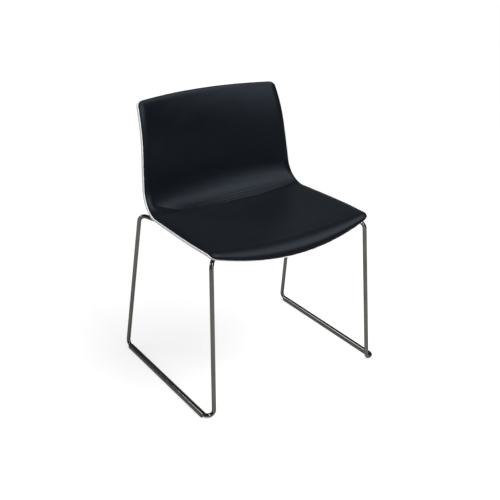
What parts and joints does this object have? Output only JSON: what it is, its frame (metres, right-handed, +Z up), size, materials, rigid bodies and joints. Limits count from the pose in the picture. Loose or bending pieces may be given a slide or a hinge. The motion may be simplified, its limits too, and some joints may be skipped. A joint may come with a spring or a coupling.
{
  "type": "sled base visitor chair",
  "caption": "Sled base visitor chair: curved one-piece shell with an upholstered face on two bent rod side frames joined by cross plates.",
  "frame": {"origin": "on the floor, under the middle of the footprint box", "axes": "+Z up; the sitter faces -Y; +X is towards the sitter's left hand, which is the right of a picture taken from the front"},
  "size_m": [0.6042, 0.4988, 0.7793],
  "materials": {
    "cover_leather": "satin black leather with fine grain",
    "foam": "matt cut foam, hidden under the cover",
    "carrier_board": "matt pressed board, hidden under the foam",
    "shell_plastic": "satin white moulded plastic",
    "chromed_rod": "dark chrome plating on steel rod",
    "glide_plastic": "matt dark grey plastic",
    "insert_brass": "plain machined",
    "zinc_steel": "bright zinc plate"
  },
  "bodies": {
    "root": {"upholstery_cover": "cover_leather", "foam_pad": "foam", "pad_carrier": "carrier_board", "seat_shell": "shell_plastic", "thread_insert_front_left": "insert_brass", "washer_front_left": "zinc_steel", "screw_front_left": "zinc_steel", "thread_insert_front_right": "insert_brass", "washer_front_right": "zinc_steel", "screw_front_right": "zinc_steel", "thread_insert_rear_left": "insert_brass", "washer_rear_left": "zinc_steel", "screw_rear_left": "zinc_steel", "thread_insert_rear_right": "insert_brass", "washer_rear_right": "zinc_steel", "screw_rear_right": "zinc_steel", "side_frame_right": "chromed_rod", "side_frame_left": "chromed_rod", "cross_plate_front": "chromed_rod", "cross_plate_rear": "chromed_rod", "runner_glide_left": "glide_plastic", "runner_glide_right": "glide_plastic"}
  },
  "joints": []
}
